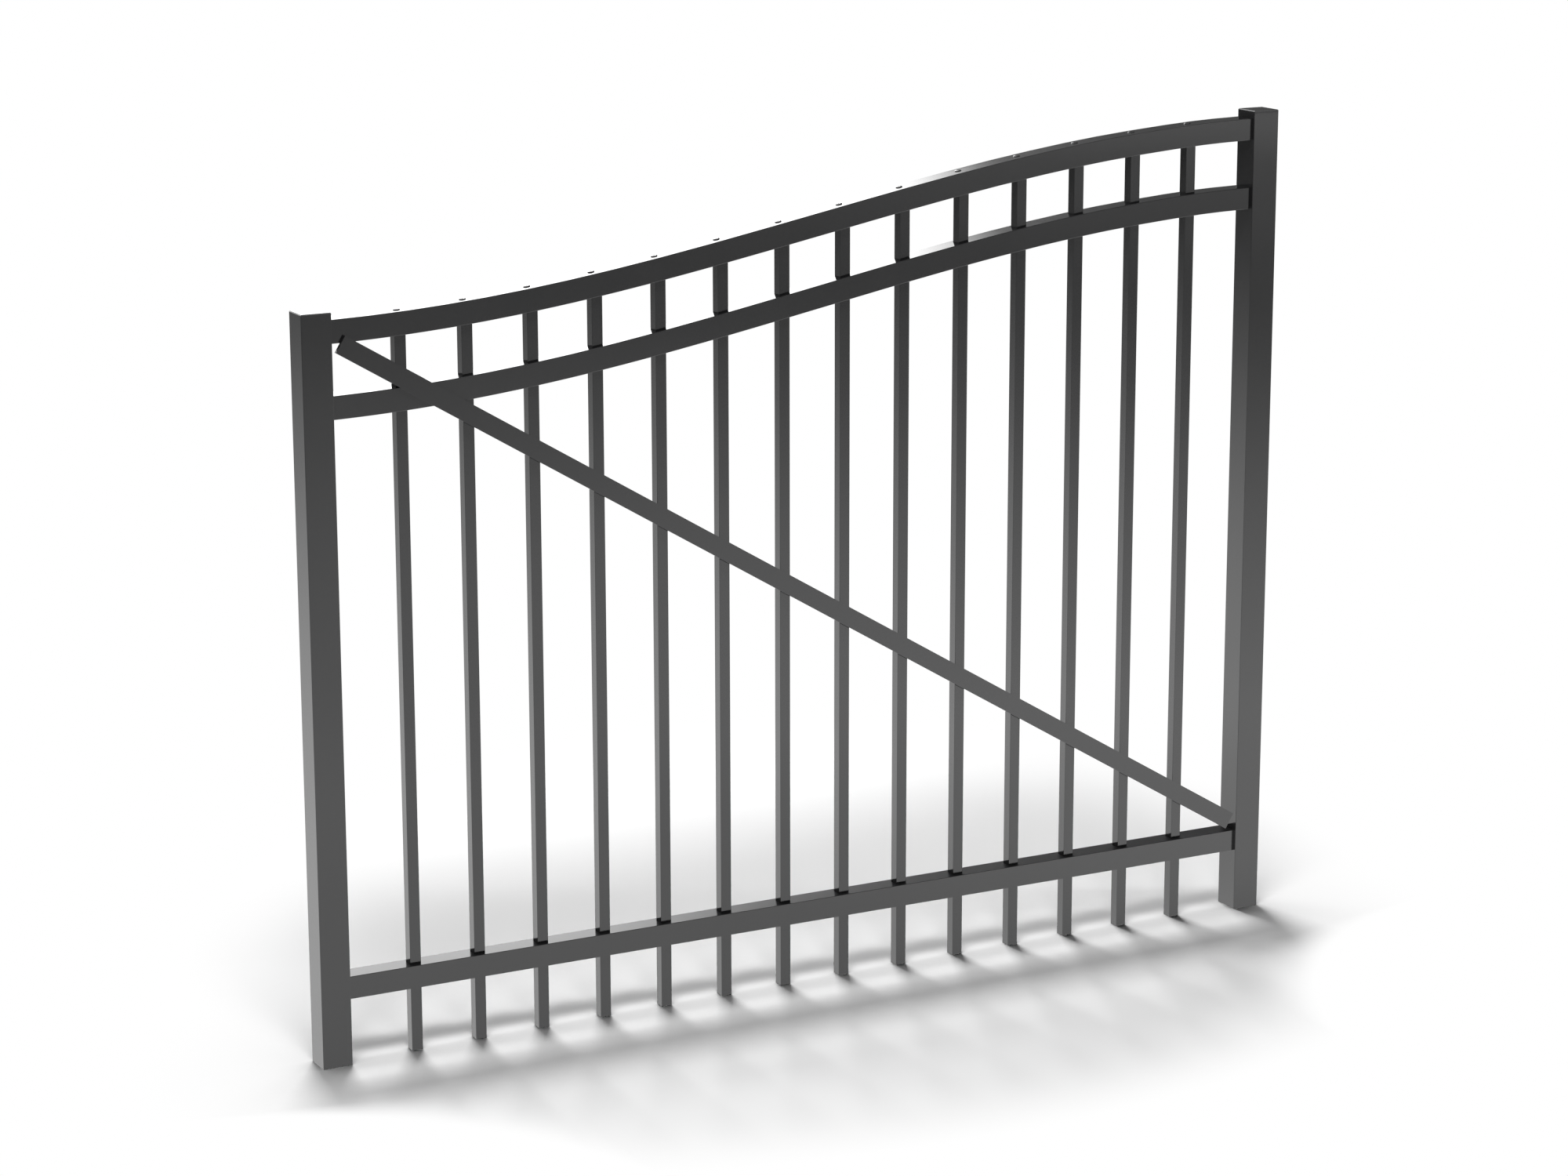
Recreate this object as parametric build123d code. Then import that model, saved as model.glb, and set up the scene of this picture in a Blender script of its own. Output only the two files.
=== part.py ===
from build123d import *

import math
import os

# One swing leaf of a driveway gate with an S-curved top, in square aluminium tube and channel.
# The leaf runs along +X from its low, hinge-side upright to its tall, latch-side upright. +Z is up
# and -Y is the front, the side that carries the diagonal brace. The origin is on the hinge-side
# upright's outer face, in the leaf's mid-plane, at the height of the bottom rail's centre line.
# All sizes are in millimetres.

# Overall sizes of the leaf
LEAF_WIDTH = 1828.8
LOW_UPRIGHT_HEIGHT = 1239.0
CURVE_RISE = 221.0

# Uprights: square tube with a flat plug-in cap
UPRIGHT_SIZE = 50.8
UPRIGHT_WALL = 3.2
UPRIGHT_CORNER = 1.0
CAP_THICKNESS = 4.8
CAP_BEVEL = 1.5
CAP_PLUG_DEPTH = 16.0
CAP_PLUG_WALL = 2.0
CAP_CLEARANCE = 0.2

# Rails: channels that are open underneath
RAIL_WIDTH = 38.1
RAIL_DEPTH = 38.1
RAIL_WALL = 2.4
RAIL_CORNER = 0.8
UPRIGHT_RISE_OVER_RAIL = 13.0
MIDDLE_RAIL_DROP = 121.0
BOTTOM_RAIL_LIFT = 111.0

# Pickets: square tube, even spacing, one size of gap at both ends of the row
PICKET_SIZE = 19.05
PICKET_WALL = 1.4
PICKET_CORNER = 0.6
PICKET_PITCH = 114.3
PICKET_COUNT = 14
PICKET_CLEARANCE = 0.25
PICKET_TOP_GAP = 0.3

# Brace: flat bar across the rails' front faces, cut square at both ends
BRACE_WIDTH = 31.0
BRACE_THICKNESS = 6.35
BRACE_SIDE_GAP = 6.35
BRACE_HEAD_LAP = 12.0
BRACE_TOE_RISE = 34.0

# Spacers: short round tubes between the brace and the pickets behind it. Past the first two
# pickets, where the brace lies on the upper rails, there is one at every picket.
SPACER_FIRST_PICKET = 3
SPACER_DIAMETER = 12.7
SPACER_BORE = 6.6

# Values that follow from the sizes above
FOOT_Z = -(BOTTOM_RAIL_LIFT + RAIL_DEPTH / 2)
TALL_UPRIGHT_HEIGHT = LOW_UPRIGHT_HEIGHT + CURVE_RISE
INNER_LOW_X = UPRIGHT_SIZE
INNER_TALL_X = LEAF_WIDTH - UPRIGHT_SIZE
CURVE_START_Z = FOOT_Z + LOW_UPRIGHT_HEIGHT - UPRIGHT_RISE_OVER_RAIL
BOTTOM_RAIL_TOP_Z = FOOT_Z + BOTTOM_RAIL_LIFT + RAIL_DEPTH
FIRST_PICKET_X = (LEAF_WIDTH - (PICKET_COUNT - 1) * PICKET_PITCH) / 2
RAIL_FRONT_Y = -RAIL_WIDTH / 2
PICKET_FRONT_Y = -PICKET_SIZE / 2

# Points along each curved edge, and how far cutting tools run past what they cut
CURVE_POINTS = 13
CUT_MARGIN = 5.0


def curve_height(x):
    """Height of the top rail's upper face at x: half a cosine wave over the leaf's width."""
    return CURVE_START_Z + CURVE_RISE / 2 * (1 - math.cos(math.pi * x / LEAF_WIDTH))


def curve_slope(x):
    """Slope of the top rail at x."""
    return CURVE_RISE / 2 * math.pi / LEAF_WIDTH * math.sin(math.pi * x / LEAF_WIDTH)


def edge_height(x, drop, depth):
    """Height of a line that runs depth below the curve, square to it, on a rail set drop lower."""
    return curve_height(x) - drop - depth * math.hypot(1, curve_slope(x))


def curved_edge(drop, depth):
    """Spline between the uprights' inner faces, depth below the upper face of a curved rail."""
    span = INNER_TALL_X - INNER_LOW_X
    places = [INNER_LOW_X + span * i / (CURVE_POINTS - 1) for i in range(CURVE_POINTS)]
    points = [(x, edge_height(x, drop, depth)) for x in places]
    ends = [(1, curve_slope(x)) for x in (INNER_LOW_X, INNER_TALL_X)]
    return Spline(*points, tangents=ends)


def closed_strip(upper, lower):
    """Face between two edges that both run from the low upright to the tall one."""
    low_end = Line(lower @ 0, upper @ 0)
    tall_end = Line(upper @ 1, lower @ 1)
    return make_face([low_end, upper, tall_end, lower])


def across_leaf(face, width):
    """Solid of a face drawn in X and Z, spread evenly to both sides of the leaf's mid-plane."""
    upright_face = Plane.XZ * face
    return extrude(upright_face, amount=width / 2, both=True)


def square_tube(size, wall, corner, height):
    """Upright square tube with rounded outer corners, standing on Z = 0."""
    outer = RectangleRounded(size, size, corner)
    inner = Rectangle(size - 2 * wall, size - 2 * wall)
    return extrude(outer - inner, amount=height)


def upright(centre_x, height):
    """Tube of an upright, up to the underside of its cap."""
    tube = square_tube(UPRIGHT_SIZE, UPRIGHT_WALL, UPRIGHT_CORNER, height - CAP_THICKNESS)
    return Pos(centre_x, 0, FOOT_Z) * tube


def cap(centre_x, height):
    """Flat bevelled plate with a hollow square plug that presses into the upright's tube."""
    plate = extrude(Rectangle(UPRIGHT_SIZE, UPRIGHT_SIZE), amount=CAP_THICKNESS)
    plate = chamfer(plate.edges().group_by(Axis.Z)[-1], CAP_BEVEL)
    plate &= extrude(RectangleRounded(UPRIGHT_SIZE, UPRIGHT_SIZE, UPRIGHT_CORNER), amount=CAP_THICKNESS)
    plug_size = UPRIGHT_SIZE - 2 * (UPRIGHT_WALL + CAP_CLEARANCE)
    plug_bore = plug_size - 2 * CAP_PLUG_WALL
    plug = extrude(Rectangle(plug_size, plug_size) - Rectangle(plug_bore, plug_bore), amount=-CAP_PLUG_DEPTH)
    return Pos(centre_x, 0, FOOT_Z + height - CAP_THICKNESS) * (plate + plug)


def picket_holes(x_places, floor_z, roof_z):
    """Square cutters, one for each picket, that pass through a rail's upper wall."""
    size = PICKET_SIZE + 2 * PICKET_CLEARANCE
    middle_z = (floor_z + roof_z) / 2
    return [Pos(x, 0, middle_z) * Box(size, size, roof_z - floor_z) for x in x_places]


def upper_long_edges(block):
    """The two edges that run along the top of a rail, one on each side of the leaf."""
    long_edges = block.edges().sort_by(SortBy.LENGTH)[-4:]
    return long_edges.sort_by(Axis.Z)[-2:]


def curved_rail(drop):
    """Channel that follows the curve, drop below it, with its open side down."""
    upper = curved_edge(drop, 0)
    block = across_leaf(closed_strip(upper, curved_edge(drop, RAIL_DEPTH)), RAIL_WIDTH)
    block = fillet(upper_long_edges(block), RAIL_CORNER)
    hollow_top = curved_edge(drop, RAIL_WALL)
    hollow_floor = curved_edge(drop, RAIL_DEPTH + CUT_MARGIN)
    hollow = across_leaf(closed_strip(hollow_top, hollow_floor), RAIL_WIDTH - 2 * RAIL_WALL)
    return block - hollow


def rail_top():
    """Top rail, whole, because the pickets stop under it."""
    return curved_rail(0)


def rail_middle():
    """Second rail, the same curve set lower, with a hole for each picket."""
    low_z = edge_height(INNER_LOW_X, MIDDLE_RAIL_DROP, RAIL_DEPTH)
    high_z = edge_height(INNER_TALL_X, MIDDLE_RAIL_DROP, 0)
    holes = picket_holes(picket_places(), low_z - CUT_MARGIN, high_z + CUT_MARGIN)
    return curved_rail(MIDDLE_RAIL_DROP) - holes


def rail_bottom():
    """Straight channel near the feet, with a hole for each picket."""
    length = INNER_TALL_X - INNER_LOW_X
    middle_x = (INNER_LOW_X + INNER_TALL_X) / 2
    middle_z = BOTTOM_RAIL_TOP_Z - RAIL_DEPTH / 2
    block = Pos(middle_x, 0, middle_z) * Box(length, RAIL_WIDTH, RAIL_DEPTH)
    block = fillet(upper_long_edges(block), RAIL_CORNER)
    hollow = Box(length, RAIL_WIDTH - 2 * RAIL_WALL, RAIL_DEPTH)
    holes = picket_holes(picket_places(), BOTTOM_RAIL_TOP_Z - RAIL_DEPTH, BOTTOM_RAIL_TOP_Z + CUT_MARGIN)
    return block - Pos(middle_x, 0, middle_z - RAIL_WALL) * hollow - holes


def picket_places():
    """Centre of each picket along the leaf."""
    return [FIRST_PICKET_X + i * PICKET_PITCH for i in range(PICKET_COUNT)]


def picket(x):
    """Square tube from foot level to just under the top rail's upper wall."""
    top_z = edge_height(x - PICKET_SIZE / 2, 0, RAIL_WALL) - PICKET_TOP_GAP
    tube = square_tube(PICKET_SIZE, PICKET_WALL, PICKET_CORNER, top_z - FOOT_Z)
    return Pos(x, 0, FOOT_Z) * tube


def brace_ends():
    """Upper corners of the brace's two square ends, as X and Z."""
    toe_x = INNER_TALL_X - BRACE_SIDE_GAP
    toe_z = BOTTOM_RAIL_TOP_Z + BRACE_TOE_RISE
    tilt = math.atan2(curve_height(INNER_LOW_X) - RAIL_DEPTH - toe_z, toe_x - INNER_LOW_X)
    head_x = INNER_LOW_X + BRACE_SIDE_GAP + BRACE_WIDTH * math.sin(tilt)
    head_z = edge_height(head_x, 0, RAIL_DEPTH) + BRACE_HEAD_LAP
    return head_x, head_z, toe_x, toe_z


def brace_angle():
    """Angle of the brace below the level, in degrees."""
    head_x, head_z, toe_x, toe_z = brace_ends()
    return math.degrees(math.atan2(head_z - toe_z, toe_x - head_x))


def brace_middle_height(x):
    """Height of the brace's centre line at x."""
    head_x, head_z = brace_ends()[:2]
    tilt = math.radians(brace_angle())
    return head_z - (x - head_x) * math.tan(tilt) - BRACE_WIDTH / 2 / math.cos(tilt)


def brace():
    """Flat bar from below the top rail at the low side to just above the bottom rail."""
    head_x, head_z, toe_x, toe_z = brace_ends()
    length = math.hypot(toe_x - head_x, toe_z - head_z)
    bar = Pos(length / 2, -BRACE_THICKNESS / 2, -BRACE_WIDTH / 2) * Box(length, BRACE_THICKNESS, BRACE_WIDTH)
    return Pos(head_x, RAIL_FRONT_Y, head_z) * Rot(0, brace_angle(), 0) * bar


def brace_spacer(x):
    """Short tube that carries the brace on the front face of the picket at x."""
    length = PICKET_FRONT_Y - RAIL_FRONT_Y
    ring = Circle(SPACER_DIAMETER / 2) - Circle(SPACER_BORE / 2)
    tube = extrude(ring, amount=length)
    return Pos(x, PICKET_FRONT_Y, brace_middle_height(x)) * Rot(90, 0, 0) * tube


def all_pieces():
    """Every named piece of the leaf, in its place."""
    low_x = UPRIGHT_SIZE / 2
    tall_x = LEAF_WIDTH - UPRIGHT_SIZE / 2
    pieces = {
        "upright_hinge": upright(low_x, LOW_UPRIGHT_HEIGHT),
        "upright_latch": upright(tall_x, TALL_UPRIGHT_HEIGHT),
        "cap_hinge": cap(low_x, LOW_UPRIGHT_HEIGHT),
        "cap_latch": cap(tall_x, TALL_UPRIGHT_HEIGHT),
        "rail_top": rail_top(),
        "rail_middle": rail_middle(),
        "rail_bottom": rail_bottom(),
        "brace": brace(),
    }
    for number, x in enumerate(picket_places(), start=1):
        pieces[f"picket_{number:02d}"] = picket(x)
        if number >= SPACER_FIRST_PICKET:
            pieces[f"brace_spacer_{number:02d}"] = brace_spacer(x)
    return pieces


def write_parts():
    """Write one STEP file for each piece."""
    os.makedirs("parts", exist_ok=True)
    for name, solid in all_pieces().items():
        export_step(solid, f"parts/{name}.step")


write_parts()
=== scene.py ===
import logging
import math
from dataclasses import dataclass, field
from enum import Enum
from typing import Callable

import bpy
from mathutils import Matrix, Vector


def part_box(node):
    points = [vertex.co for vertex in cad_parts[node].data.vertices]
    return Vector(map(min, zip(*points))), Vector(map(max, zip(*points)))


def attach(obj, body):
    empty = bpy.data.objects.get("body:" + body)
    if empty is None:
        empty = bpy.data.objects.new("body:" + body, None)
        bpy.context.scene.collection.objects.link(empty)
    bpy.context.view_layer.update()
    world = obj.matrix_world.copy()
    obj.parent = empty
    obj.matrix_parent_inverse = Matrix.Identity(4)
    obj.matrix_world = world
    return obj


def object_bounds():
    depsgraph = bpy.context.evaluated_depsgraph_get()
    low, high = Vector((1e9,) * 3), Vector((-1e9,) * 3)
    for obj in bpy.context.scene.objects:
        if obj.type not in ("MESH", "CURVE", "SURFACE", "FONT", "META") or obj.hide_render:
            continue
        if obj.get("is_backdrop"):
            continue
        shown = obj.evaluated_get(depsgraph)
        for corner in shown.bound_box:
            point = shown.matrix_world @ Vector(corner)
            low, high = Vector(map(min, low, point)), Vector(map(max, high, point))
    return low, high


# The looks of a driveway gate leaf in gloss black powder coat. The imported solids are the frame.
# Lengths are in metres, in the frame's own axes: +X to the latch side, +Z up, and -Y to the front.

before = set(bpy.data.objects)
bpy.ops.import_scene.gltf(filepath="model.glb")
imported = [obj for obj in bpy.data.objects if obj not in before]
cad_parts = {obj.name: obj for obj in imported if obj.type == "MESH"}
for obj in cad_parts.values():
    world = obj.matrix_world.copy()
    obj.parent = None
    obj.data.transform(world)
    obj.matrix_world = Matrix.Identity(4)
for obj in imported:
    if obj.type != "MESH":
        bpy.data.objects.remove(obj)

BODY = "root"
PICKET_COUNT = 14
FIRST_BRACED_PICKET = 3
SHARP_ANGLE = math.radians(35.0)
UPWARD = 0.9

log = logging.getLogger("gate_leaf")

Settings = dict[str, object]
Inputs = dict[str | int, object]
Span = tuple[float, float]
Stops = tuple[Span, ...]


class Paint(Enum):
    """The record's material slots, one for each kind of painted piece."""

    UPRIGHT = "upright_paint"
    CAP = "cap_paint"
    RAIL = "rail_paint"
    PICKET = "picket_paint"
    BRACE = "brace_paint"
    SPACER = "spacer_paint"


class Signal:
    """A shader socket whose sums and products add Math nodes."""

    def __init__(self, graph: "Graph", socket: bpy.types.NodeSocket) -> None:
        """Keeps the socket and the graph that it belongs to."""
        self.graph = graph
        self.socket = socket

    def _math(self, operation: str, first: "Signal | float", second: "Signal | float") -> "Signal":
        """The result of a Math node with this operation on two signals or numbers."""
        made = self.graph.node("ShaderNodeMath", {"operation": operation}, {0: first, 1: second})
        return Signal(self.graph, made.outputs[0])

    def __add__(self, other: "Signal | float") -> "Signal":
        """The sum."""
        return self._math("ADD", self, other)

    def __radd__(self, other: float) -> "Signal":
        """The sum, with the number first."""
        return self._math("ADD", other, self)

    def __sub__(self, other: "Signal | float") -> "Signal":
        """The difference."""
        return self._math("SUBTRACT", self, other)

    def __rsub__(self, other: float) -> "Signal":
        """The difference, with the number first."""
        return self._math("SUBTRACT", other, self)

    def __mul__(self, other: "Signal | float") -> "Signal":
        """The product."""
        return self._math("MULTIPLY", self, other)

    def __rmul__(self, other: float) -> "Signal":
        """The product, with the number first."""
        return self._math("MULTIPLY", other, self)

    def __truediv__(self, other: "Signal | float") -> "Signal":
        """The quotient."""
        return self._math("DIVIDE", self, other)

    def __pow__(self, other: "Signal | float") -> "Signal":
        """The power."""
        return self._math("POWER", self, other)

    def at_least(self, other: "Signal | float") -> "Signal":
        """The larger of the two."""
        return self._math("MAXIMUM", self, other)

    def at_most(self, other: "Signal | float") -> "Signal":
        """The smaller of the two."""
        return self._math("MINIMUM", self, other)

    def step(self, start: float, end: float) -> "Signal":
        """A smooth step.

        Args:
            start: the value where the step is 0.
            end: the value where the step is 1.

        Returns:
            The step, from 0 to 1.
        """
        made = self.graph.node(
            "ShaderNodeMapRange",
            {"interpolation_type": "SMOOTHSTEP"},
            {"Value": self, "From Min": start, "From Max": end},
        )
        return Signal(self.graph, made.outputs["Result"])


class Graph:
    """A node tree that is written as calls and expressions."""

    def __init__(self, tree: bpy.types.NodeTree) -> None:
        """Empties the tree."""
        self.tree = tree
        tree.nodes.clear()

    def node(
        self,
        kind: str,
        settings: Settings | None = None,
        inputs: Inputs | None = None,
    ) -> bpy.types.Node:
        """Adds a node.

        Args:
            kind: the node's type.
            settings: its own settings, which are set first. A colour ramp's stops are its "stops".
            inputs: values or links for its sockets, by name or number.

        Returns:
            The node.
        """
        made = self.tree.nodes.new(kind)
        for name, value in (settings or {}).items():
            if name == "stops":
                self._set_stops(made.color_ramp, value)
            else:
                setattr(made, name, value)
        for key, value in (inputs or {}).items():
            if isinstance(value, Signal):
                self.tree.links.new(value.socket, made.inputs[key])
            elif isinstance(value, bpy.types.NodeSocket):
                self.tree.links.new(value, made.inputs[key])
            else:
                made.inputs[key].default_value = value
        return made

    @staticmethod
    def _set_stops(ramp: bpy.types.ColorRamp, stops: list[tuple[float, float]]) -> None:
        """Gives a ramp its stops.

        Args:
            ramp: the ramp, with its first two stops.
            stops: places from 0 to 1, each with its grey level.
        """
        while len(ramp.elements) < len(stops):
            ramp.elements.new(1.0)
        for element, (place, level) in zip(ramp.elements, stops):
            element.position = place
            element.color = (level, level, level, 1.0)

    def signal(
        self,
        kind: str,
        output: str | int,
        settings: Settings | None = None,
        inputs: Inputs | None = None,
    ) -> Signal:
        """Adds a node, as node() does, and takes the output with this name or number."""
        return Signal(self, self.node(kind, settings, inputs).outputs[output])

    def coordinates(self) -> bpy.types.NodeSocket:
        """The place on the piece, in the frame's axes."""
        return self.node("ShaderNodeTexCoord").outputs["Object"]

    def upward(self) -> Signal:
        """How far the surface faces up, from -1 to 1."""
        normal = self.node("ShaderNodeNewGeometry").outputs["Normal"]
        return self.signal("ShaderNodeSeparateXYZ", "Z", None, {"Vector": normal})

    def rays(self) -> tuple[Signal, Signal]:
        """A signal that is 1 on a ray from the camera, and one that is 1 on a glossy ray."""
        light = self.node("ShaderNodeLightPath")
        return Signal(self, light.outputs["Is Camera Ray"]), Signal(self, light.outputs["Is Glossy Ray"])

    def glow(self, level: Signal) -> bpy.types.NodeSocket:
        """A grey emission."""
        return self.node("ShaderNodeEmission", None, {"Color": self.grey(level)}).outputs[0]

    def mix(
        self, share: Signal, low: bpy.types.NodeSocket, high: bpy.types.NodeSocket
    ) -> bpy.types.NodeSocket:
        """The shader that is the low one where the share is 0, and the high one where it is 1."""
        return self.node("ShaderNodeMixShader", None, {0: share, 1: low, 2: high}).outputs[0]

    def noise(self, place: bpy.types.NodeSocket, scale: float, detail: float = 2.0) -> Signal:
        """A noise from 0 to 1, with so many cells in a metre and so many finer layers."""
        inputs = {"Vector": place, "Scale": scale, "Detail": detail}
        return self.signal("ShaderNodeTexNoise", 0, {"noise_dimensions": "3D"}, inputs)

    def grey(self, level: Signal) -> bpy.types.NodeSocket:
        """A grey colour of this lightness."""
        made = self.node("ShaderNodeCombineColor", {"mode": "RGB"}, {0: level, 1: level, 2: level})
        return made.outputs[0]

    def blend(self, share: Signal, low: tuple[float, ...], high: tuple[float, ...]) -> bpy.types.NodeSocket:
        """The colour that is the low one where the share is 0, and the high one where it is 1."""
        made = self.node("ShaderNodeMix", {"data_type": "RGBA"}, {0: share, 6: low, 7: high})
        return made.outputs[2]


def rgba(colour: tuple[float, float, float]) -> tuple[float, float, float, float]:
    """The colour with full alpha."""
    return (*colour, 1.0)


@dataclass(frozen=True)
class PowderCoat:
    """Gloss powder coat: a near-black base with orange peel under a clear gloss skin.

    The base is cloudy over a hand's width and has fine flecks. Dust may settle on upward faces, where it
    dulls the skin. A scale is how many cells of a noise fit in a metre.
    """

    name: str
    colour: tuple[float, float, float] = (0.0105, 0.0105, 0.0112)
    dusty_colour: tuple[float, float, float] = (0.0150, 0.0150, 0.0155)
    roughness: float = 0.15
    roughness_spread: float = 0.08
    skin_roughness: float = 0.045
    skin_weight: float = 1.0
    peel_scale: float = 620.0
    peel_height: float = 0.00004
    peel_strength: float = 0.35
    fine_peel_ratio: float = 2.7
    fine_peel_share: float = 0.25
    cloud_scale: float = 9.0
    cloud_detail: float = 4.0
    cloud_span: Span = (0.35, 0.75)
    cloud_share: float = 0.6
    fleck_scale: float = 2600.0
    fleck_detail: float = 1.0
    fleck_span: Span = (0.55, 0.75)
    fleck_share: float = 0.4
    fleck_roughness: float = 0.03
    settled_dust: float = 0.0
    dust_roughness: float = 0.16
    dust_slope: Span = (0.5, 0.9)

    def material(self) -> bpy.types.Material:
        """Makes the finish.

        Returns:
            The material.
        """
        made = bpy.data.materials.new(self.name)
        made.use_nodes = True
        graph = Graph(made.node_tree)
        place = graph.coordinates()
        cloud = graph.noise(place, self.cloud_scale, self.cloud_detail)
        fleck = graph.noise(place, self.fleck_scale, self.fleck_detail)
        peel = graph.noise(place, self.peel_scale) * (1.0 - self.fine_peel_share)
        fine_peel = graph.noise(place, self.peel_scale * self.fine_peel_ratio)
        peel = peel + fine_peel * self.fine_peel_share
        cloudy = cloud.step(*self.cloud_span) * self.cloud_share
        share = (cloudy + fleck.step(*self.fleck_span) * self.fleck_share).at_most(1.0)
        bump = graph.node("ShaderNodeBump", None, {
            "Strength": self.peel_strength,
            "Distance": self.peel_height,
            "Height": peel,
        })
        roughness = self.roughness + (cloud - 0.5) * self.roughness_spread
        roughness = roughness + fleck * self.fleck_roughness
        weight: Signal | float = self.skin_weight
        if self.settled_dust:
            upper = graph.upward().step(*self.dust_slope)
            roughness = roughness + upper * self.dust_roughness
            weight = self.skin_weight * (1.0 - upper * self.settled_dust)
        shader = graph.node("ShaderNodeBsdfPrincipled", None, {
            "Base Color": graph.blend(share, rgba(self.colour), rgba(self.dusty_colour)),
            "Roughness": roughness,
            "Coat Weight": weight,
            "Coat Roughness": self.skin_roughness,
            "Normal": bump.outputs["Normal"],
        })
        graph.node("ShaderNodeOutputMaterial", None, {"Surface": shader.outputs["BSDF"]})
        return made


@dataclass(frozen=True)
class Finishes:
    """The finish of each kind of piece. The low rail has dust on its upper face."""

    coats: dict[Paint, PowderCoat] = field(default_factory=lambda: {
        Paint.UPRIGHT: PowderCoat("upright_coat"),
        Paint.CAP: PowderCoat("cap_coat", roughness=0.19, skin_roughness=0.06, peel_scale=800.0),
        Paint.RAIL: PowderCoat("rail_coat", skin_roughness=0.05),
        Paint.PICKET: PowderCoat("picket_coat", peel_scale=700.0),
        Paint.BRACE: PowderCoat("brace_coat", roughness=0.22, cloud_scale=12.0),
        Paint.SPACER: PowderCoat(
            "spacer_coat", roughness=0.32, skin_roughness=0.16, skin_weight=0.6,
        ),
    })
    low_rail: PowderCoat = PowderCoat("low_rail_coat", skin_roughness=0.14, settled_dust=0.6)

    def materials(self) -> dict[Paint, bpy.types.Material]:
        """Makes every finish once, by the slot that each is for."""
        return {paint: coat.material() for paint, coat in self.coats.items()}


def dress(piece: bpy.types.Object, material: bpy.types.Material) -> None:
    """Gives a piece one material all over."""
    piece.data.materials.clear()
    piece.data.materials.append(material)


class Workbench:
    """The modelling steps that the pieces share."""

    @staticmethod
    def clear() -> None:
        """Deselects everything."""
        bpy.ops.object.select_all(action="DESELECT")

    @staticmethod
    def hold(piece: bpy.types.Object) -> None:
        """Makes a piece the only one that is selected, and the active one.

        Args:
            piece: the piece.
        """
        Workbench.clear()
        piece.select_set(True)
        bpy.context.view_layer.objects.active = piece

    @staticmethod
    def pick_faces(piece: bpy.types.Object, wanted: Callable[[Vector, Vector], bool]) -> None:
        """Enters edit mode with only some faces selected.

        Args:
            piece: the piece, in object mode.
            wanted: says from a face's centre and normal whether it is selected.
        """
        Workbench.hold(piece)
        bpy.ops.object.mode_set(mode="EDIT")
        bpy.ops.mesh.select_mode(type="FACE")
        bpy.ops.mesh.select_all(action="DESELECT")
        bpy.ops.object.mode_set(mode="OBJECT")
        for polygon in piece.data.polygons:
            polygon.select = wanted(polygon.center, polygon.normal)
        bpy.ops.object.mode_set(mode="EDIT")

    @staticmethod
    def done() -> None:
        """Leaves edit mode."""
        bpy.ops.object.mode_set(mode="OBJECT")

    @staticmethod
    def copy_to(model: bpy.types.Object, name: str, place: Matrix) -> bpy.types.Object:
        """Copies a modelled piece with its own mesh.

        Args:
            model: the piece that is copied.
            name: the copy's name.
            place: where the copy goes, as a matrix in the frame's axes.

        Returns:
            The copy, with its place in its mesh.
        """
        made = bpy.data.objects.new(name, model.data.copy())
        made.data.transform(place)
        bpy.context.scene.collection.objects.link(made)
        return made

    @staticmethod
    def drop(model: bpy.types.Object) -> None:
        """Removes a piece that only served as a model.

        Args:
            model: the piece.
        """
        mesh = model.data
        bpy.data.objects.remove(model)
        bpy.data.meshes.remove(mesh)


@dataclass
class Screw:
    """A low dome screw with a hexagon socket, standing on the plane z = 0 with its axis up."""

    head_radius: float = 0.0058
    head_height: float = 0.0018
    rim_height: float = 0.0007
    crown_radius: float = 0.0028
    dome_steps: int = 5
    sides: int = 28
    socket_across: float = 0.0028
    socket_depth: float = 0.0012
    seat_depth: float = 0.0004

    def model(self) -> bpy.types.Object:
        """Models the screw's head.

        Returns:
            The head, at the origin.
        """
        head = self._dome()
        self._cut_socket(head)
        Workbench.hold(head)
        bpy.ops.object.shade_smooth_by_angle(angle=SHARP_ANGLE)
        return head

    def _dome(self) -> bpy.types.Object:
        """Shapes a low cylinder into a dome.

        Returns:
            The dome.
        """
        Workbench.clear()
        depth = self.rim_height + self.seat_depth
        bpy.ops.mesh.primitive_cylinder_add(
            vertices=self.sides, radius=self.head_radius, depth=depth,
            location=(0.0, 0.0, self.rim_height - depth / 2),
        )
        head = bpy.context.object
        bpy.ops.object.transform_apply(location=True, rotation=True, scale=True)
        Workbench.pick_faces(head, lambda centre, normal: normal.z > UPWARD)
        rise = self.head_height - self.rim_height
        reached_height, reached_radius = 0.0, self.head_radius
        for index in range(1, self.dome_steps + 1):
            turn = math.pi / 2 * index / self.dome_steps
            height = rise * math.sin(turn)
            radius = self.crown_radius + (self.head_radius - self.crown_radius) * math.cos(turn)
            bpy.ops.mesh.extrude_region_move(
                TRANSFORM_OT_translate={"value": (0.0, 0.0, height - reached_height)}
            )
            share = radius / reached_radius
            bpy.ops.transform.resize(value=(share, share, 1.0))
            reached_height, reached_radius = height, radius
        Workbench.done()
        return head

    def _cut_socket(self, head: bpy.types.Object) -> None:
        """Cuts the hexagon socket into the crown.

        Args:
            head: the dome.
        """
        Workbench.clear()
        bpy.ops.mesh.primitive_cylinder_add(
            vertices=6, radius=self.socket_across / math.sqrt(3.0), depth=self.socket_depth * 2,
            location=(0.0, 0.0, self.head_height),
        )
        cutter = bpy.context.object
        bpy.ops.object.transform_apply(location=True, rotation=True, scale=True)
        Workbench.hold(head)
        cut = head.modifiers.new("socket", "BOOLEAN")
        cut.operation = "DIFFERENCE"
        cut.solver = "EXACT"
        cut.object = cutter
        bpy.ops.object.modifier_apply(modifier=cut.name)
        Workbench.drop(cutter)


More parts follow.
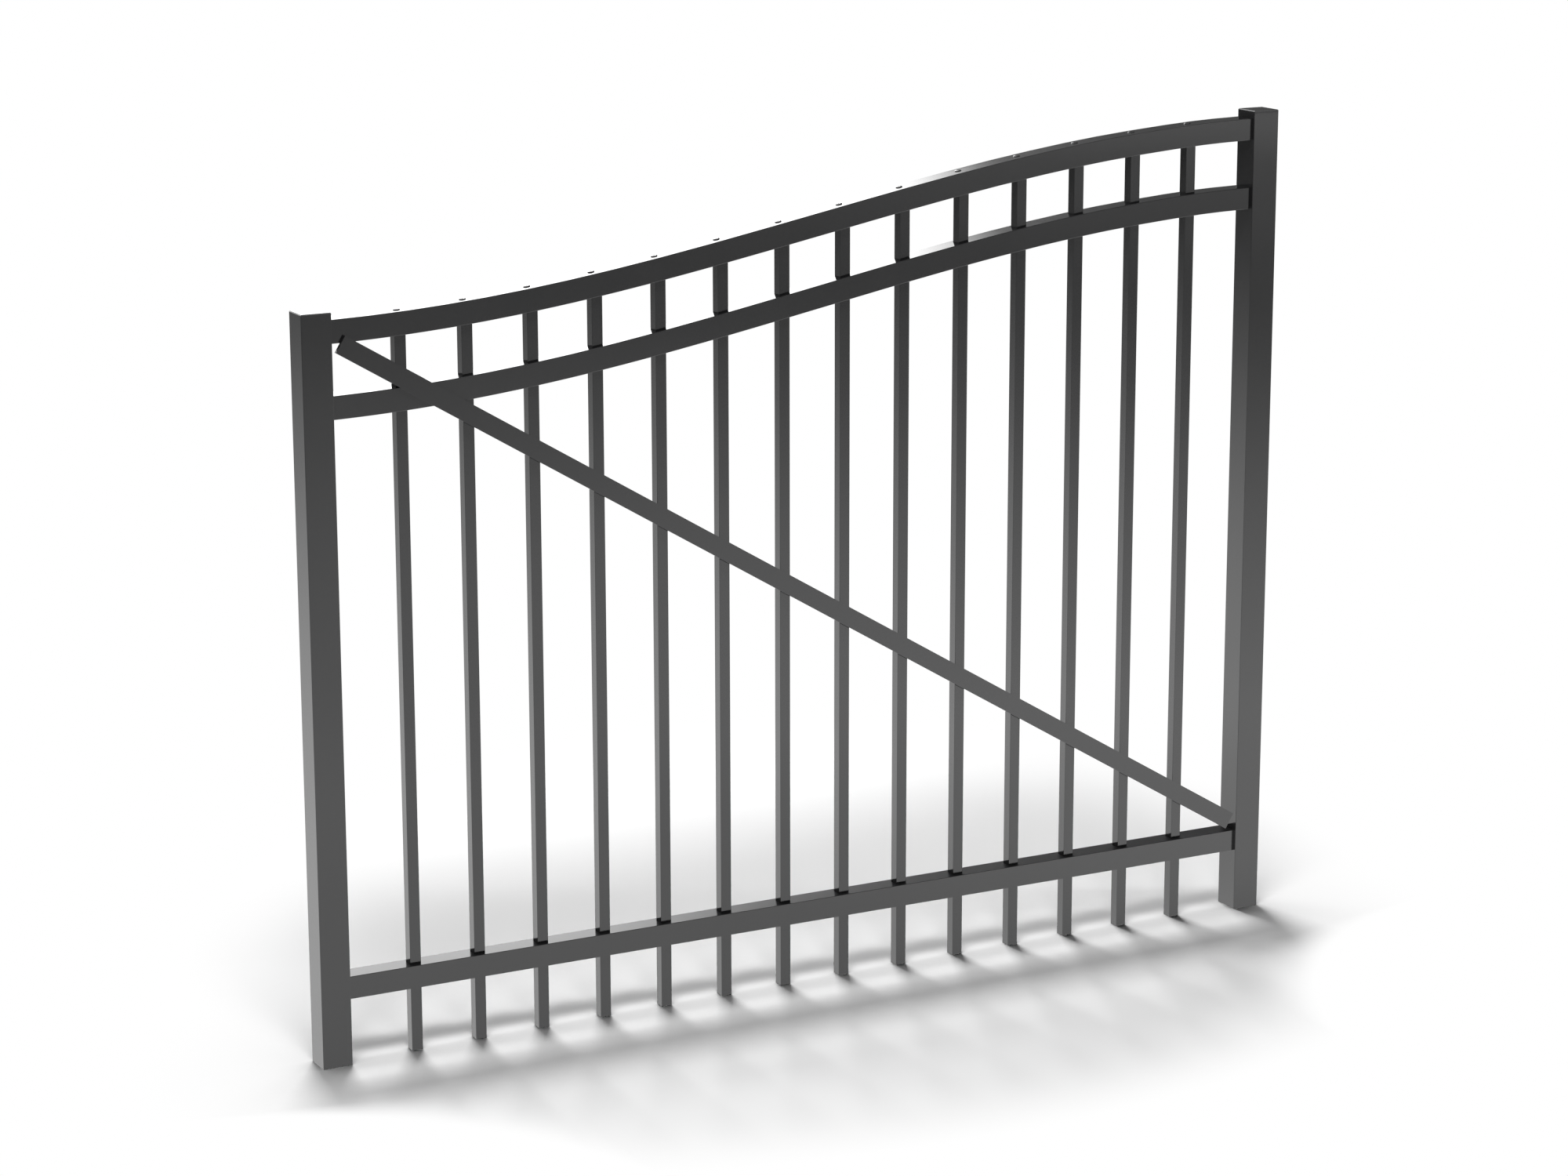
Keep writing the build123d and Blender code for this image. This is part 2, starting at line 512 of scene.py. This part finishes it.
@dataclass
class Fasteners:
    """The screws that hold the pickets to the top rail, and the brace to the pickets.

    A head is set into its face by the sink. The reach is how far off a line to the rail starts.
    """

    screw: Screw = field(default_factory=Screw)
    sink: float = 0.0002
    reach: float = 3.0
    rail_depth: float = 0.0381

    def build(self, paints: dict[Paint, bpy.types.Material]) -> list[bpy.types.Object]:
        """Models one screw and sets a copy at each place.

        Args:
            paints: the finishes.

        Returns:
            The screws.
        """
        model = self.screw.model()
        placed = self._on_top_rail(model) + self._behind_pickets(model)
        Workbench.drop(model)
        for piece in placed:
            paint = Paint.RAIL if piece.name.startswith("rail") else Paint.PICKET
            dress(piece, paints[paint])
            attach(piece, BODY)
        return placed

    def _on_top_rail(self, model: bpy.types.Object) -> list[bpy.types.Object]:
        """Sets a screw over each picket, square to the rail, so that their axes meet under the rail.

        Args:
            model: the modelled screw.

        Returns:
            The screws.
        """
        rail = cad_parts["rail_top"]
        up = Vector((0.0, 0.0, 1.0))
        made = []
        for number in range(1, PICKET_COUNT + 1):
            low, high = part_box(f"picket_{number:02d}")
            middle = Vector(((low.x + high.x) / 2, 0.0, 0.0))
            top, square = self._hit(rail, middle + up * self.reach, -up)
            below = top - up * (self.rail_depth / square.z)
            point, normal = self._hit(rail, below + square * self.reach, -square)
            turn = up.rotation_difference(normal).to_matrix().to_4x4()
            place = Matrix.Translation(point - normal * self.sink) @ turn
            made.append(Workbench.copy_to(model, f"rail_screw_{number:02d}", place))
        return made

    @staticmethod
    def _hit(rail: bpy.types.Object, start: Vector, way: Vector) -> tuple[Vector, Vector]:
        """Finds where a straight line first meets the rail.

        Args:
            rail: the rail.
            start: where the line starts.
            way: its direction.

        Returns:
            The point on the rail and the rail's normal there.
        """
        found, point, normal, _ = rail.ray_cast(start, way)
        if not found:
            raise ValueError(f"the line from {tuple(start)} misses {rail.name}")
        return point, normal

    def _behind_pickets(self, model: bpy.types.Object) -> list[bpy.types.Object]:
        """Sets a screw behind each braced picket, in line with its spacer.

        Args:
            model: the modelled screw.

        Returns:
            The screws.
        """
        turn = Matrix.Rotation(-math.pi / 2, 4, "X")
        made = []
        for number in range(FIRST_BRACED_PICKET, PICKET_COUNT + 1):
            low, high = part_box(f"brace_spacer_{number:02d}")
            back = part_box(f"picket_{number:02d}")[1].y
            point = Vector(((low.x + high.x) / 2, back - self.sink, (low.z + high.z) / 2))
            place = Matrix.Translation(point) @ turn
            made.append(Workbench.copy_to(model, f"brace_screw_{number:02d}", place))
        return made


class Leaf:
    """The gate leaf's own solids, which stay as packed and get their finishes."""

    PAINT_OF = {
        "upright": Paint.UPRIGHT,
        "cap": Paint.CAP,
        "rail": Paint.RAIL,
        "picket": Paint.PICKET,
        "brace": Paint.BRACE,
        "brace_spacer": Paint.SPACER,
    }
    LOW_RAIL = "rail_bottom"

    def build(self, paints: dict[Paint, bpy.types.Material], dusty: bpy.types.Material) -> int:
        """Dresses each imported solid.

        Args:
            paints: the finishes.
            dusty: the low rail's finish.

        Returns:
            How many solids were dressed.
        """
        for name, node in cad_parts.items():
            dress(node, dusty if name == self.LOW_RAIL else paints[self._paint(name)])
        return len(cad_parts)

    def _paint(self, name: str) -> Paint:
        """The slot of a solid with this name."""
        kind = name if name in self.PAINT_OF else name.rsplit("_", 1)[0]
        return self.PAINT_OF[kind]


@dataclass
class Softbox:
    """A rectangular studio lamp that faces the gate. The camera and glossy rays don't see it.

    Its azimuth turns from the back towards the latch side, and its share is of the floor's full light.
    """

    name: str
    azimuth: float
    elevation: float
    width: float
    height: float
    share: float
    distance: float = 6.0
    target: tuple[float, float, float] = (0.914, 0.0, 0.3)

    def build(self) -> bpy.types.Object:
        """Places the lamp so that it gives its share of the floor's light.

        Returns:
            The lamp.
        """
        turn, rise = math.radians(self.azimuth), math.radians(self.elevation)
        flat = math.cos(rise)
        away = Vector((math.sin(turn) * flat, math.cos(turn) * flat, math.sin(rise)))
        lamp = bpy.data.lights.new(self.name, "AREA")
        lamp.shape = "RECTANGLE"
        lamp.size = self.width
        lamp.size_y = self.height
        lamp.energy = self.share * math.pi ** 2 * self.distance ** 2 / math.sin(rise)
        made = bpy.data.objects.new(self.name, lamp)
        made.location = Vector(self.target) + away * self.distance
        made.rotation_mode = "QUATERNION"
        made.rotation_quaternion = (-away).to_track_quat("-Z", "Y")
        made.visible_camera = False
        made.visible_glossy = False
        bpy.context.scene.collection.objects.link(made)
        return made


@dataclass
class Floor:
    """A pale round floor, with a painted pool of light round the gate that thins out away from it.

    Glossy paint mirrors the pool, whose stops are distances from the gate, each with its light. The camera
    sees the lamps' shadows deepened by its paint and glow, with painted shade behind the gate and a faint
    painted shade in front of it, and the floor turns white further out, and sooner on the flanks in front.
    An effect with a Span starts at its first place and is full at its second. The right side's places are
    in gate widths.
    """

    radius: float = 14.0
    sides: int = 96
    inner_share: float = 0.5
    paint: float = 0.98
    depth: float = 1.4
    fade: Span = (0.42, 1.00)
    fade_width: float = 1.25
    fade_front: float = 0.80
    fade_back: float = 1.62
    fade_skew: float = 0.25
    flank_width: float = 0.80
    flank_depth: float = 0.30
    flank_power: float = 5.0
    flank_fade: Span = (0.40, 1.60)
    # Painted contact shade: an ambient occlusion darkens the floor's paint near the gate.
    contact_shade_reach: float = 0.35
    contact_shade_power: float = 0.45
    contact_shade_samples: int = 16
    # Painted shade on the floor behind the gate, taken off the camera's glow.
    painted_shade_behind: float = 0.18
    painted_shade_behind_rise: Span = (0.05, 0.45)
    painted_shade_behind_end: Span = (1.55, 0.80)
    painted_shade_behind_side: Span = (-0.30, 0.25)
    painted_shade_behind_skew: float = 0.25
    # A faint painted shade on the floor in front of the gate, taken off the camera's glow.
    painted_shade_ahead: float = 0.06
    painted_shade_ahead_rise: Span = (-0.27, -0.38)
    painted_shade_ahead_end: Span = (-0.70, -0.44)
    painted_shade_ahead_left: Span = (0.08, 0.34)
    painted_shade_ahead_right: Span = (1.45, 1.15)
    painted_shade_ahead_skew: float = 1.0
    # The painted pool of light: a glow that glossy rays see on the floor, by distance from the gate.
    front_pool: Stops = (
        (0.0, 1.00), (1.5, 1.08), (2.2, 0.96), (3.4, 0.79), (5.0, 0.51),
        (6.9, 0.31), (7.8, 0.27), (9.9, 0.24), (11.2, 0.32), (12.3, 0.88), (13.2, 1.20),
    )
    back_pool: Stops = (
        (0.0, 0.92), (0.4, 0.98), (1.3, 0.96), (2.2, 0.86), (3.4, 0.70), (5.0, 0.46),
        (6.9, 0.26), (8.5, 0.16), (10.5, 0.09), (14.0, 0.07),
    )
    right_gain: float = 0.25
    right_side: Span = (0.50, 1.15)
    front_to_back: Span = (-0.3, 0.3)
    back_gain: float = 0.22
    back_side: Span = (-0.10, 1.00)
    back_skew: float = 0.35
    back_near: Span = (0.40, 1.30)
    far_gain: float = 0.24
    far_side: Span = (3.8, 6.8)
    far_start: Span = (7.0, 10.0)
    far_end: Span = (12.6, 11.2)

    def build(self) -> bpy.types.Object:
        """Models the floor under the gate's feet.

        Returns:
            The floor.
        """
        low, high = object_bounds()
        Workbench.clear()
        bpy.ops.mesh.primitive_circle_add(
            vertices=self.sides, radius=self.radius, fill_type="NGON",
            location=((low.x + high.x) / 2, 0.0, low.z),
        )
        made = bpy.context.object
        made.name = "floor"
        bpy.ops.object.transform_apply(location=True, rotation=True, scale=True)
        Workbench.pick_faces(made, lambda centre, normal: True)
        bpy.ops.mesh.inset(thickness=self.radius * self.inner_share)
        Workbench.done()
        dress(made, self._material(high.x))
        made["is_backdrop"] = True
        return made

    def _material(self, width: float) -> bpy.types.Material:
        """Makes the floor's paint.

        Args:
            width: the gate's width.

        Returns:
            The material.
        """
        made = bpy.data.materials.new("studio_floor")
        made.use_nodes = True
        graph = Graph(made.node_tree)
        place = graph.node("ShaderNodeSeparateXYZ", None, {"Vector": graph.coordinates()})
        along = Signal(graph, place.outputs["X"])
        across = Signal(graph, place.outputs["Y"])
        camera, gloss = graph.rays()
        # Painted contact shade: the ambient occlusion darkens the floor's colour where the gate is near.
        painted_contact_shade = graph.signal(
            "ShaderNodeAmbientOcclusion", "AO",
            {"samples": self.contact_shade_samples}, {"Distance": self.contact_shade_reach},
        ) ** self.contact_shade_power
        # For the camera the paint is raised and an even negative glow is taken off, which deepens the
        # lamps' shadows: painted shade.
        stretch = 1.0 + camera * (self.depth - 1.0)
        paint = graph.grey(painted_contact_shade * self.paint * stretch)
        matt = graph.node("ShaderNodeBsdfDiffuse", None, {"Color": paint}).outputs[0]
        # The camera's glow takes off the even part of the stretch and the painted shade behind and in front
        # of the gate.
        level = (1.0 - self.paint * self.depth - self._painted_shade(along, across)) * camera
        lit = graph.node("ShaderNodeAddShader", None, {0: matt, 1: graph.glow(level)}).outputs[0]
        white = graph.node("ShaderNodeEmission").outputs[0]
        seen = graph.mix(camera * self._openness(along - width / 2, across), lit, white)
        # Glossy rays see the painted pool of light, a glow that no lamp gives.
        last = graph.mix(gloss, seen, graph.glow(self._pool(along, across, width)))
        graph.node("ShaderNodeOutputMaterial", None, {"Surface": last})
        return made

    def _painted_shade(self, along: Signal, across: Signal) -> Signal:
        """The painted shade behind the gate and in front of it.

        Args:
            along: the place along the gate.
            across: the place across it.

        Returns:
            How much light the painted shade takes.
        """
        painted_shade_behind = across.step(*self.painted_shade_behind_rise) * across.step(*self.painted_shade_behind_end)
        painted_shade_behind = painted_shade_behind * (along - across * self.painted_shade_behind_skew).step(*self.painted_shade_behind_side) * self.painted_shade_behind
        painted_shade_ahead = across.step(*self.painted_shade_ahead_rise) * across.step(*self.painted_shade_ahead_end)
        painted_shade_ahead = painted_shade_ahead * (along + across * self.painted_shade_ahead_skew).step(*self.painted_shade_ahead_left)
        return painted_shade_behind + painted_shade_ahead * along.step(*self.painted_shade_ahead_right) * self.painted_shade_ahead

    def _openness(self, off: Signal, across: Signal) -> Signal:
        """Where the floor turns white, away from the gate and on the flanks in front.

        Args:
            off: the place along the gate, from its middle.
            across: the place across it.

        Returns:
            0 where the floor shows its shadows, and 1 where it is white.
        """
        skewed = off - across.at_least(0.0) * self.fade_skew
        square = skewed * skewed
        ahead, after = across.at_most(0.0) / self.fade_front, across.at_least(0.0) / self.fade_back
        round_gate = square / self.fade_width ** 2 + ahead * ahead + after * after
        sideways = (square ** 0.5 / self.flank_width) ** self.flank_power
        onward = across.at_most(0.0) / self.flank_depth
        flank = (sideways * onward * onward).step(*self.flank_fade)
        return round_gate.step(*self.fade).at_least(flank)

    def _pool(self, along: Signal, across: Signal, width: float) -> Signal:
        """The painted light that glossy paint sees on the floor: a glow that the lamps don't give.

        Args:
            along: the place along the gate.
            across: the place across it.
            width: the gate's width.

        Returns:
            The light.
        """
        beyond = along - along.at_least(0.0).at_most(width)
        away = (beyond * beyond + across * across) ** 0.5
        far = along.step(*self.far_side) * away.step(*self.far_start) * away.step(*self.far_end)
        right = 1.0 + along.step(*(share * width for share in self.right_side)) * self.right_gain
        front = self._at_stops(away, self.front_pool) * right + far * self.far_gain
        side = (along + across * self.back_skew).step(*self.back_side) * across.step(*self.back_near)
        back = self._at_stops(away, self.back_pool) * (1.0 + side * self.back_gain)
        return front + (back - front) * across.step(*self.front_to_back)

    def _at_stops(self, away: Signal, stops: Stops) -> Signal:
        """The light of one pool.

        Args:
            away: the distance from the gate.
            stops: distances, each with its light.

        Returns:
            The light at the distance.
        """
        scaled = [(distance / self.radius, level) for distance, level in stops]
        share = away / self.radius
        return away.graph.signal("ShaderNodeValToRGB", "Color", {"stops": scaled}, {"Fac": share})


@dataclass
class Dome:
    """The studio round the gate: white to the camera, and to gloss dim with a bright window behind.

    Each edge of the window is a pair of angles in degrees: where its light starts, and where it is full.
    The halo is a faint rim outside the window's right edge. Matt paint gets the ambient light alone.
    """

    wall: float = 0.085
    ceiling: float = 0.75
    ceiling_rise: Span = (35.0, 62.0)
    ambient: float = 0.05
    window: float = 2.3
    window_right: Span = (27.9, 24.95)
    window_left: Span = (-16.0, -5.0)
    window_top: Span = (44.0, 30.0)
    halo: float = 0.12
    halo_right: Span = (33.0, 26.0)

    def build(self) -> bpy.types.World:
        """Makes the world.

        Returns:
            The world.
        """
        world = bpy.data.worlds.new("studio")
        bpy.context.scene.world = world
        world.use_nodes = True
        graph = Graph(world.node_tree)
        coordinates = graph.node("ShaderNodeTexCoord")
        way = graph.node("ShaderNodeSeparateXYZ", None, {"Vector": coordinates.outputs["Generated"]})
        along, across, up = (Signal(graph, way.outputs[axis]) for axis in "XYZ")
        azimuth = self._degrees(graph, "ARCTAN2", along, across)
        elevation = self._degrees(graph, "ARCSINE", up, 0.0)
        bright = azimuth.step(*self.window_right) * self.window
        bright = bright + azimuth.step(*self.halo_right) * self.halo
        window = bright * azimuth.step(*self.window_left) * elevation.step(*self.window_top)
        camera, gloss = graph.rays()
        studio = self.wall + elevation.step(*self.ceiling_rise) * self.ceiling + window
        level = camera + (1.0 - camera) * (gloss * studio + (1.0 - gloss) * self.ambient)
        background = graph.node("ShaderNodeBackground", None, {"Color": graph.grey(level)})
        graph.node("ShaderNodeOutputWorld", None, {"Surface": background.outputs[0]})
        return world

    @staticmethod
    def _degrees(graph: Graph, operation: str, first: Signal, second: Signal | float) -> Signal:
        """The angle in degrees that a Math node's operation gives in radians."""
        turned = graph.signal("ShaderNodeMath", 0, {"operation": operation}, {0: first, 1: second})
        return turned * math.degrees(1.0)


@dataclass
class Studio:
    """The floor, the dome, the lamps and the camera."""

    floor: Floor = field(default_factory=Floor)
    dome: Dome = field(default_factory=Dome)
    lamps: tuple[Softbox, ...] = (
        Softbox("rear_softbox", azimuth=12.0, elevation=34.5, width=2.6, height=2.1, share=0.505),
        Softbox("front_softbox", azimuth=-145.0, elevation=60.5, width=2.4, height=1.4, share=0.44),
        Softbox("top_softbox", azimuth=10.0, elevation=78.0, width=1.6, height=1.0, share=0.125),
    )
    eye: tuple[float, float, float] = (-2.1115, -5.6121, 2.0807)
    yaw: float = -27.9024
    pitch: float = 13.3624
    roll: float = -0.093
    lens: float = 88.761
    sensor: float = 36.0

    def build(self) -> bpy.types.Object:
        """Sets the studio up.

        Returns:
            The camera.
        """
        self.floor.build()
        self.dome.build()
        for lamp in self.lamps:
            lamp.build()
        bpy.context.scene.view_settings.view_transform = "Standard"
        return self._camera()

    def _camera(self) -> bpy.types.Object:
        """Places the camera at the photograph's angle.

        Returns:
            The camera.
        """
        data = bpy.data.cameras.new("camera")
        data.sensor_fit = "HORIZONTAL"
        data.sensor_width = self.sensor
        data.lens = self.lens
        made = bpy.data.objects.new("camera", data)
        turn = (
            Matrix.Rotation(math.radians(self.yaw), 4, "Z")
            @ Matrix.Rotation(math.radians(90.0 - self.pitch), 4, "X")
            @ Matrix.Rotation(math.radians(self.roll), 4, "Z")
        )
        made.matrix_world = Matrix.Translation(self.eye) @ turn
        bpy.context.scene.collection.objects.link(made)
        bpy.context.scene.camera = made
        return made


def main() -> None:
    """Builds the gate's looks in order and reports each piece."""
    logging.basicConfig(level=logging.INFO, format="%(message)s")
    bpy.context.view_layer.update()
    finishes = Finishes()
    paints = finishes.materials()
    log.info("finishes: %d", len(paints) + 1)
    log.info("solids dressed: %d", Leaf().build(paints, finishes.low_rail.material()))
    log.info("screws: %d", len(Fasteners().build(paints)))
    camera = Studio().build()
    log.info("camera: %s", camera.name)


if __name__ == "__main__":
    main()
